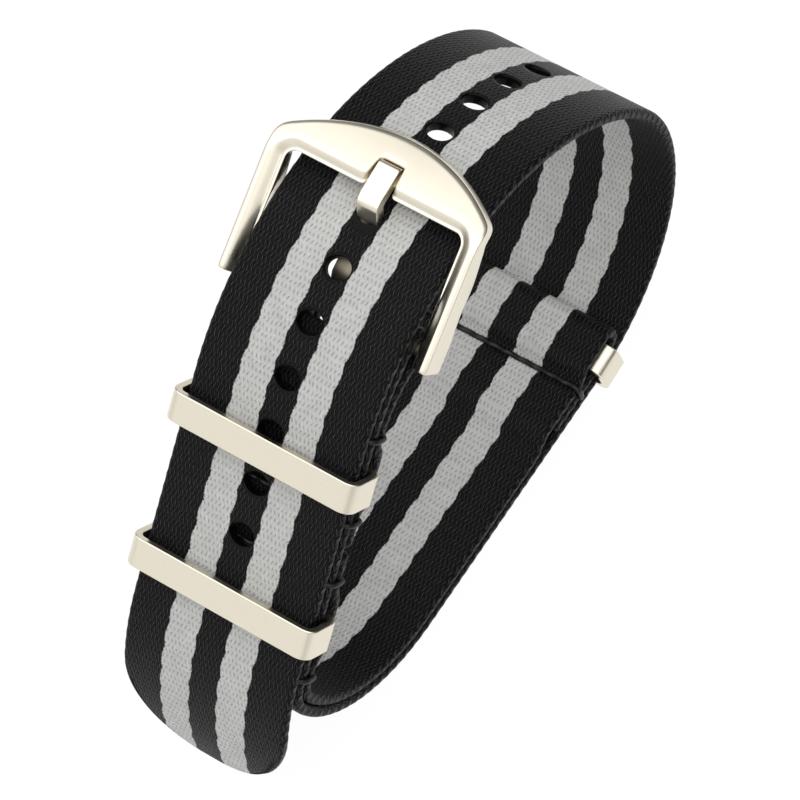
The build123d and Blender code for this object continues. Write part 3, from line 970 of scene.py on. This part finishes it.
beat = add_node(tree, "ShaderNodeMath", {0: wave}, operation="COSINE").outputs[0]
side = add_node(tree, "ShaderNodeMath", {0: column}, operation="COSINE").outputs[0]
crossing = add_node(tree, "ShaderNodeMath", {0: side, 1: beat}, operation="MULTIPLY").outputs[0]
fuzz = add_node(tree, "ShaderNodeTexNoise",
                {"Vector": flat, "Scale": fuzz_per_mm, "Detail": 2.0}).outputs[0]
lowered = add_node(tree, "ShaderNodeMath", {0: crossing, 1: pit_bias}, operation="SUBTRACT").outputs[0]
uneven = add_node(tree, "ShaderNodeMath", {0: fuzz, 1: pit_fuzz, 2: lowered},
                  operation="MULTIPLY_ADD").outputs[0]
pit = add_node(tree, "ShaderNodeMapRange", {0: uneven, 1: pit_from, 2: pit_to},
               interpolation_type="SMOOTHSTEP").outputs[0]
raised = add_node(tree, "ShaderNodeMath", {0: crossing, 1: -pit_bias, 2: cords},
                  operation="MULTIPLY_ADD").outputs[0]
lit = add_node(tree, "ShaderNodeMath", {0: raised, 1: crown_part, 2: fuzz},
               operation="MULTIPLY_ADD").outputs[0]
crown_painted_light_mask = add_node(tree, "ShaderNodeMapRange", {0: lit, 1: crown_from, 2: crown_to},
                 interpolation_type="SMOOTHSTEP").outputs[0]
print("the weave has", len(tree.nodes), "nodes so far")

# %% [markdown]
# The yarn is dyed before weaving, so a stripe's edge isn't a printed line: it steps with the floats, in
# small scallops of four rows, and a few fibres stray over it. The stripe is worked out as a distance
# inside its edge, because a distance can be rippled and frayed before it is cut to a clean mask.

# %% The two stripes
stripe_middle_mm = 3.8
stripe_half_mm = 1.9
scallop_mm = 0.125
scallop_rows = 4
fray_mm = 0.3
edge_from, edge_to = 0.1, 0.2

ripple = add_node(tree, "ShaderNodeMath", {0: along_mm, 1: pi / (scallop_rows * row_spacing_mm)},
                  operation="MULTIPLY").outputs[0]
scallop = add_node(tree, "ShaderNodeMath", {0: ripple}, operation="SINE").outputs[0]
bulge = add_node(tree, "ShaderNodeMath", {0: scallop}, operation="ABSOLUTE").outputs[0]
reach = add_node(tree, "ShaderNodeMath",
                 {0: bulge, 1: 2 * scallop_mm, 2: stripe_half_mm - scallop_mm},
                 operation="MULTIPLY_ADD").outputs[0]
either_side = add_node(tree, "ShaderNodeMath", {0: across_mm}, operation="ABSOLUTE").outputs[0]
from_stripe = add_node(tree, "ShaderNodeMath", {0: either_side, 1: stripe_middle_mm},
                       operation="SUBTRACT").outputs[0]
off_middle = add_node(tree, "ShaderNodeMath", {0: from_stripe}, operation="ABSOLUTE").outputs[0]
within = add_node(tree, "ShaderNodeMath", {0: reach, 1: off_middle}, operation="SUBTRACT").outputs[0]
frayed = add_node(tree, "ShaderNodeMath", {0: fuzz, 1: fray_mm, 2: within},
                  operation="MULTIPLY_ADD").outputs[0]
stripe = add_node(tree, "ShaderNodeMapRange", {0: frayed, 1: edge_from, 2: edge_to}).outputs[0]
print("stripes", 2 * stripe_half_mm, "mm wide,", 2 * stripe_middle_mm, "mm apart")

# %% [markdown]
# Both yarns are matt and fairly even. A flat colour would look like plastic, so the grooves and pits get a
# little painted shade, the black yarn's crowns a little painted highlight, and the whole strap's tone drifts
# slowly at random. At the holes and the tip the nylon has melted, which makes it black and smooth.

# %% The yarns' colours, with painted shade and painted highlights
# The black yarn's second colour is a painted highlight for its crowns.
black_yarn, black_crown_painted_highlight, grey_yarn, burnt_nylon = "#050405", "#504F51", "#FDFDFA", "#0A0908"
melt_from, melt_to = 0.45, 0.85
# The pit and groove factors are painted shade; the drift is the yarn's own random tone.
drift_dark, pit_painted_shade_factor, groove_painted_shade_factor = 0.9, 0.55, 0.85
noise_low, noise_high = 0.3, 0.7

melt = add_node(tree, "ShaderNodeAttribute", attribute_name="melt").outputs["Fac"]
melted = add_node(tree, "ShaderNodeMapRange", {0: melt, 1: melt_from, 2: melt_to},
                  interpolation_type="SMOOTHSTEP").outputs[0]
# The black yarn's crowns get a painted highlight: a lighter colour where the crown mask is high.
black_with_painted_highlight = add_node(tree, "ShaderNodeMix", {0: crown_painted_light_mask, 6: linear(black_yarn), 7: linear(black_crown_painted_highlight)},
                data_type="RGBA").outputs[2]
yarn = add_node(tree, "ShaderNodeMix", {0: stripe, 6: black_with_painted_highlight, 7: linear(grey_yarn)},
                data_type="RGBA").outputs[2]
tint = add_node(tree, "ShaderNodeMapRange",
                {0: drift, 1: noise_low, 2: noise_high, 3: drift_dark, 4: 1.0}).outputs[0]
# Painted shade: the pits and the grooves between crowns are darkened in the colour.
painted_pit_shade = add_node(tree, "ShaderNodeMapRange", {0: pit, 3: 1.0, 4: pit_painted_shade_factor}).outputs[0]
painted_groove_shade = add_node(tree, "ShaderNodeMapRange", {0: crown_painted_light_mask, 3: groove_painted_shade_factor, 4: 1.0}).outputs[0]
painted_pit_and_groove_shade = add_node(tree, "ShaderNodeMath", {0: painted_pit_shade, 1: painted_groove_shade}, operation="MULTIPLY").outputs[0]
painted_shade_and_tone = add_node(tree, "ShaderNodeMath", {0: painted_pit_and_groove_shade, 1: tint}, operation="MULTIPLY").outputs[0]
yarn_with_painted_shade = add_node(tree, "ShaderNodeMix", {0: 1.0, 6: yarn, 7: painted_shade_and_tone}, data_type="RGBA",
                 blend_type="MULTIPLY").outputs[2]
burnt = add_node(tree, "ShaderNodeMix", {0: melted, 6: yarn_with_painted_shade, 7: linear(burnt_nylon)},
                 data_type="RGBA").outputs[2]
tree.links.new(burnt, shader.inputs["Base Color"])
print("yarns", black_yarn, black_crown_painted_highlight, grey_yarn, "and burnt", burnt_nylon)

# %% [markdown]
# The relief is the same pattern as a height: round cords, sunken pits, and fine fibres that run along the
# floats. None of it is left where the nylon has melted. Real fibres are a few hundredths of a millimetre
# thick, which is too fine to show, so they are drawn as coarse as they need to be seen.

# %% The relief and the sheen
fibres_per_mm, fibre_ends_per_mm = 15.0, 2.4
crossing_height, cord_height, fibre_height = -0.22, 0.4, 0.7
relief_depth, relief_strength = 0.11 * mm, 0.9
woven_rough, melted_rough = 0.42, 0.24

fine_across = add_node(tree, "ShaderNodeMath", {0: leaned, 1: fibres_per_mm}, operation="MULTIPLY").outputs[0]
fine_along = add_node(tree, "ShaderNodeMath", {0: along_mm, 1: fibre_ends_per_mm},
                      operation="MULTIPLY").outputs[0]
fibre_place = add_node(tree, "ShaderNodeCombineXYZ", {0: fine_across, 1: fine_along}).outputs[0]
fibre = add_node(tree, "ShaderNodeTexNoise", {"Vector": fibre_place, "Scale": 1.0, "Detail": 2.0}).outputs[0]
floats = add_node(tree, "ShaderNodeMath", {0: crossing, 1: crossing_height, 2: 1.0},
                  operation="MULTIPLY_ADD").outputs[0]
pitted = add_node(tree, "ShaderNodeMath", {0: floats, 1: pit}, operation="SUBTRACT").outputs[0]
rounded = add_node(tree, "ShaderNodeMath", {0: cords, 1: cord_height, 2: pitted},
                   operation="MULTIPLY_ADD").outputs[0]
height = add_node(tree, "ShaderNodeMath", {0: fibre, 1: fibre_height, 2: rounded},
                  operation="MULTIPLY_ADD").outputs[0]
woven = add_node(tree, "ShaderNodeMath", {0: 1.0, 1: melted}, operation="SUBTRACT").outputs[0]
relief = add_node(tree, "ShaderNodeMath", {0: height, 1: woven}, operation="MULTIPLY").outputs[0]
bump = add_node(tree, "ShaderNodeBump",
                {"Strength": relief_strength, "Distance": relief_depth, "Height": relief}).outputs[0]
tree.links.new(bump, shader.inputs["Normal"])
rough = add_node(tree, "ShaderNodeMapRange", {0: melted, 3: woven_rough, 4: melted_rough}).outputs[0]
tree.links.new(rough, shader.inputs["Roughness"])
shader.inputs["IOR"].default_value = 1.53
shader.inputs["Specular IOR Level"].default_value = 0.09
shader.inputs["Sheen Weight"].default_value = 0.02
shader.inputs["Sheen Roughness"].default_value = 0.35
for piece in (long_strap, short_strap):
    piece.data.materials.append(nylon)
print(nylon.name, len(tree.nodes), "nodes")

# %% [markdown]
# ### The steel
#
# The metal is stainless steel with a satin finish from fine blasting: a soft, warm white reflection with
# a barely visible grain. One even roughness would look like paint, so it drifts a little over the metal.

# %% Satin steel
grain_mm = 0.09
cloud_per_mm = 0.3
satin_low, satin_high = "#E0D8C5", "#EEE8D8"
satin_rough = (0.27, 0.34)


def satin_steel():
    """Stainless steel, finely blasted: a broad, warm white reflection that hides its surroundings."""
    material, tree, shader = new_material("satin_stainless_steel")
    shader.inputs["Metallic"].default_value = 1.0
    place = add_node(tree, "ShaderNodeTexCoord").outputs["Object"]
    grain = add_node(tree, "ShaderNodeTexNoise",
                     {"Vector": place, "Scale": 1 / (grain_mm * mm), "Detail": 2.0}).outputs[0]
    cloud = add_node(tree, "ShaderNodeTexNoise",
                     {"Vector": place, "Scale": cloud_per_mm / mm, "Detail": 2.0}).outputs[0]
    rough = add_node(tree, "ShaderNodeMapRange",
                     {0: cloud, 1: noise_low, 2: noise_high, 3: satin_rough[0], 4: satin_rough[1]}).outputs[0]
    tree.links.new(rough, shader.inputs["Roughness"])
    tone = add_node(tree, "ShaderNodeMix", {0: grain, 6: linear(satin_low), 7: linear(satin_high)},
                    data_type="RGBA").outputs[2]
    tree.links.new(tone, shader.inputs["Base Color"])
    bump = add_node(tree, "ShaderNodeBump",
                    {"Strength": 0.12, "Distance": 0.01 * mm, "Height": grain}).outputs[0]
    tree.links.new(bump, shader.inputs["Normal"])
    return material


# %% [markdown]
# The edges were rubbed bright after the blasting, so they are a second, smoother finish. The prong's bar lies
# in shade under the webbing, and that shade is painted into it as a darker, duller steel. A mask could mix
# the three in one material, but each finish has its own faces, so each is a material of its own.

# %% Polished edges and the bar's painted shade
rub_per_mm, bar_noise_per_mm = 2.0, 1.5
bright_colour, bar_painted_shade_colour = "#E6DFCF", "#8A8173"
bright_rough, shaded_bar_rough = (0.1, 0.2), (0.4, 0.55)


def polished_edge():
    """The same steel rubbed bright: thin lines that flash or go dark with what they face."""
    material, tree, shader = new_material("polished_stainless_steel")
    shader.inputs["Metallic"].default_value = 1.0
    place = add_node(tree, "ShaderNodeTexCoord").outputs["Object"]
    rub = add_node(tree, "ShaderNodeTexNoise",
                   {"Vector": place, "Scale": rub_per_mm / mm, "Detail": 3.0}).outputs[0]
    rough = add_node(tree, "ShaderNodeMapRange",
                     {0: rub, 1: noise_low, 2: noise_high, 3: bright_rough[0], 4: bright_rough[1]}).outputs[0]
    tree.links.new(rough, shader.inputs["Roughness"])
    shader.inputs["Base Color"].default_value = linear(bright_colour)
    return material


def painted_shade_steel():
    """The same steel, darker, brownish and dull: painted shade on the prong's bar under the webbing."""
    material, tree, shader = new_material("painted_shade_stainless_steel")
    shader.inputs["Metallic"].default_value = 1.0
    place = add_node(tree, "ShaderNodeTexCoord").outputs["Object"]
    bar_noise = add_node(tree, "ShaderNodeTexNoise",
                    {"Vector": place, "Scale": bar_noise_per_mm / mm, "Detail": 3.0}).outputs[0]
    rough = add_node(tree, "ShaderNodeMapRange",
                     {0: bar_noise, 1: noise_low, 2: noise_high, 3: shaded_bar_rough[0], 4: shaded_bar_rough[1]}).outputs[0]
    tree.links.new(rough, shader.inputs["Roughness"])
    # The darker brownish colour is painted shade.
    shader.inputs["Base Color"].default_value = linear(bar_painted_shade_colour)
    return material


satin, bright = satin_steel(), polished_edge()
metal_pieces = [pin, prong, *bands, cast_frame]
for piece in metal_pieces:
    piece.data.materials.append(satin)
    piece.data.materials.append(bright)
prong.data.materials.append(painted_shade_steel())
print(satin.name, "on", len(metal_pieces), "pieces")

# %% [markdown]
# ### The thread
#
# The thread is bonded polyester, three plies twisted together and dyed black. At this size a twist shows as
# slanted ridges with a little shine on top. Three twisted tubes would show no more than that, so the ridges
# are a wave in the bump, a little coarser than the real twist, and the same wave paints the ridge tops a
# little lighter as a painted highlight.

# %% Bonded thread
twist_mm = 0.45
ridge_mm = 0.05
thread_dark, thread_ridge_painted_highlight = "#070607", "#161517"


def bonded_thread():
    """Twisted black thread with a waxy coat: slanted ridges, their tops lighter as a painted highlight, and
    small soft highlights.
    """
    material, tree, shader = new_material("bonded_polyester_thread")
    place = add_node(tree, "ShaderNodeTexCoord").outputs["Object"]
    twist = add_node(tree, "ShaderNodeTexWave",
                     {"Vector": place, "Scale": 0.5 / (twist_mm * mm) / pi, "Distortion": 1.0},
                     bands_direction="DIAGONAL").outputs["Fac"]
    # The ridge tops are painted lighter: a painted highlight on the twist.
    colour = add_node(tree, "ShaderNodeMix", {0: twist, 6: linear(thread_dark), 7: linear(thread_ridge_painted_highlight)},
                      data_type="RGBA").outputs[2]
    tree.links.new(colour, shader.inputs["Base Color"])
    bump = add_node(tree, "ShaderNodeBump",
                    {"Strength": 0.6, "Distance": ridge_mm * mm, "Height": twist}).outputs[0]
    tree.links.new(bump, shader.inputs["Normal"])
    shader.inputs["Roughness"].default_value = 0.42
    shader.inputs["IOR"].default_value = 1.55
    shader.inputs["Specular IOR Level"].default_value = 0.3
    return material


black_thread = bonded_thread()
for piece in threads:
    piece.data.materials.append(black_thread)
print(black_thread.name, "on", len(threads), "rows")

# %% [markdown]
# ## Camera, light and floor
#
# The strap is photographed from above with a long lens, which keeps its two ends at nearly one size. A
# camera could be turned to face the strap's middle, but this one was fitted to points of the photograph,
# so its place, its turn and its lens are three results of that fit.

# %% The camera
camera_at = Vector((226.7, -172.67, 521.0)) * mm
camera_turn = (28.03, 9.97, 34.55)
lens_mm, sensor_mm = 234.2, 36.0
camera_data = bpy.data.cameras.new("camera")
camera_data.lens = lens_mm
camera_data.sensor_width = sensor_mm
camera = linked("camera", camera_data)
camera.location = camera_at
camera.rotation_euler = [radians(angle) for angle in camera_turn]
scene.camera = camera
scene.view_settings.view_transform = "Standard"
print("camera", camera_at)

# %% [markdown]
# The photograph has a pure white ground and almost no shadow. A plain white floor would turn grey where
# the lamps are weak. So this one gives most of its light itself where the camera, a reflection or a
# see-through look meets it: it stays white there and still carries a trace of the strap's shadow. The
# world does the same, and lights everything else weakly.

# %% The floor
floor_half = 1.5
floor_mesh = bpy.data.meshes.new("floor")
floor_sheet = bmesh.new()
bmesh.ops.create_grid(floor_sheet, x_segments=1, y_segments=1, size=floor_half)
floor_sheet.to_mesh(floor_mesh)
floor_sheet.free()
floor = linked("floor", floor_mesh)
print("floor", 2 * floor_half, "m wide")

# %% Which rays see the white ground
floor_glow = 0.9
glow_strength = 1.06
card_edge = (0.07, 0.3)


def ray_kinds(tree):
    """Two sockets: 1 for a ray from the camera or through something clear, and 1 for a reflected ray."""
    path = add_node(tree, "ShaderNodeLightPath")
    direct = add_node(tree, "ShaderNodeMath",
                      {0: path.outputs["Is Camera Ray"], 1: path.outputs["Is Transmission Ray"]},
                      operation="MAXIMUM").outputs[0]
    return direct, path.outputs["Is Glossy Ray"]


def white_floor():
    """Matt white card: bright where it is seen, with the soft shadow kept."""
    material, tree, shader = new_material("white_card")
    shader.inputs["Base Color"].default_value = linear("#FAFAFA")
    shader.inputs["Roughness"].default_value = 0.9
    shader.inputs["Specular IOR Level"].default_value = 0.1
    seen, mirrored = ray_kinds(tree)
    place = add_node(tree, "ShaderNodeTexCoord").outputs["Object"]
    away = add_node(tree, "ShaderNodeVectorMath", {0: place}, operation="LENGTH").outputs["Value"]
    near = add_node(tree, "ShaderNodeMapRange",
                    {0: away, 1: card_edge[0], 2: card_edge[1], 3: 1.0, 4: 0.0}).outputs[0]
    card = add_node(tree, "ShaderNodeMath", {0: mirrored, 1: near}, operation="MULTIPLY").outputs[0]
    shown = add_node(tree, "ShaderNodeMath", {0: seen, 1: card}, operation="MAXIMUM").outputs[0]
    amount = add_node(tree, "ShaderNodeMath", {0: shown, 1: floor_glow}, operation="MULTIPLY").outputs[0]
    glow = add_node(tree, "ShaderNodeEmission", {"Strength": glow_strength}).outputs[0]
    both = add_node(tree, "ShaderNodeMixShader", {0: amount}).outputs[0]
    tree.links.new(shader.outputs[0], both.node.inputs[1])
    tree.links.new(glow, both.node.inputs[2])
    tree.links.new(both, tree.nodes["Material Output"].inputs["Surface"])
    return material


floor_mesh.materials.append(white_floor())

# %% [markdown]
# The room round the strap shows only in the metal: bright on one side, dark on the other. A picture of a
# room could give that, but one slow ramp from dark to bright does too, and it has nothing to load. Only
# reflections see the ramp, and everything else is lit by an even, weak grey.

# %% The world
world_light = 0.3
mirrored_low, mirrored_high = 0.12, 1.0
open_side = (-0.3, -0.7, 0.65)
open_from, open_to = -0.25, 0.6
world = bpy.data.worlds.new("world")
world.use_nodes = True
scene.world = world
world_tree = world.node_tree
backdrop = world_tree.nodes["Background"]
backdrop.inputs["Color"].default_value = (1, 1, 1, 1)
direction = add_node(world_tree, "ShaderNodeTexCoord").outputs["Generated"]
facing = add_node(world_tree, "ShaderNodeVectorMath", {0: direction, 1: open_side},
                  operation="DOT_PRODUCT").outputs["Value"]
mirror_light = add_node(world_tree, "ShaderNodeMapRange",
                        {0: facing, 1: open_from, 2: open_to, 3: mirrored_low, 4: mirrored_high}).outputs[0]
seen, mirrored = ray_kinds(world_tree)
unseen = add_node(world_tree, "ShaderNodeMix",
                  {"Factor": mirrored, "A": world_light, "B": mirror_light}).outputs[0]
strength = add_node(world_tree, "ShaderNodeMix", {"Factor": seen, "A": unseen, "B": 1.0}).outputs[0]
world_tree.links.new(strength, backdrop.inputs["Strength"])
print("world", world_light, "and", mirrored_low, "to", mirrored_high, "in reflections")

# %% [markdown]
# One large lamp overhead, a little to the left, gives the soft fall from the bright crown to the darker
# tail, and a weak one on the right opens the shadows. Small lamps would give sharper shadows, but both are
# large, because a satin metal shows a small lamp as a burnt spot.

# %% The lamps
key_at, key_size, key_watts = (-0.3, -0.05, 0.8), 1.6, 5.6
fill_at, fill_size, fill_watts = (0.5, -0.1, 0.6), 0.7, 1.7
strap_middle = (cad_box[0] + cad_box[1]) / 2


def soft_light(name, place, size, watts):
    """A square lamp that faces the middle of the strap."""
    data = bpy.data.lights.new(name, "AREA")
    data.size = size
    data.energy = watts
    lamp = linked(name, data)
    lamp.location = place
    lamp.rotation_euler = (strap_middle - Vector(place)).to_track_quat("-Z", "Y").to_euler()
    print(name, "lamp", size, "m wide,", watts, "W")


soft_light("key", key_at, key_size, key_watts)
soft_light("fill", fill_at, fill_size, fill_watts)
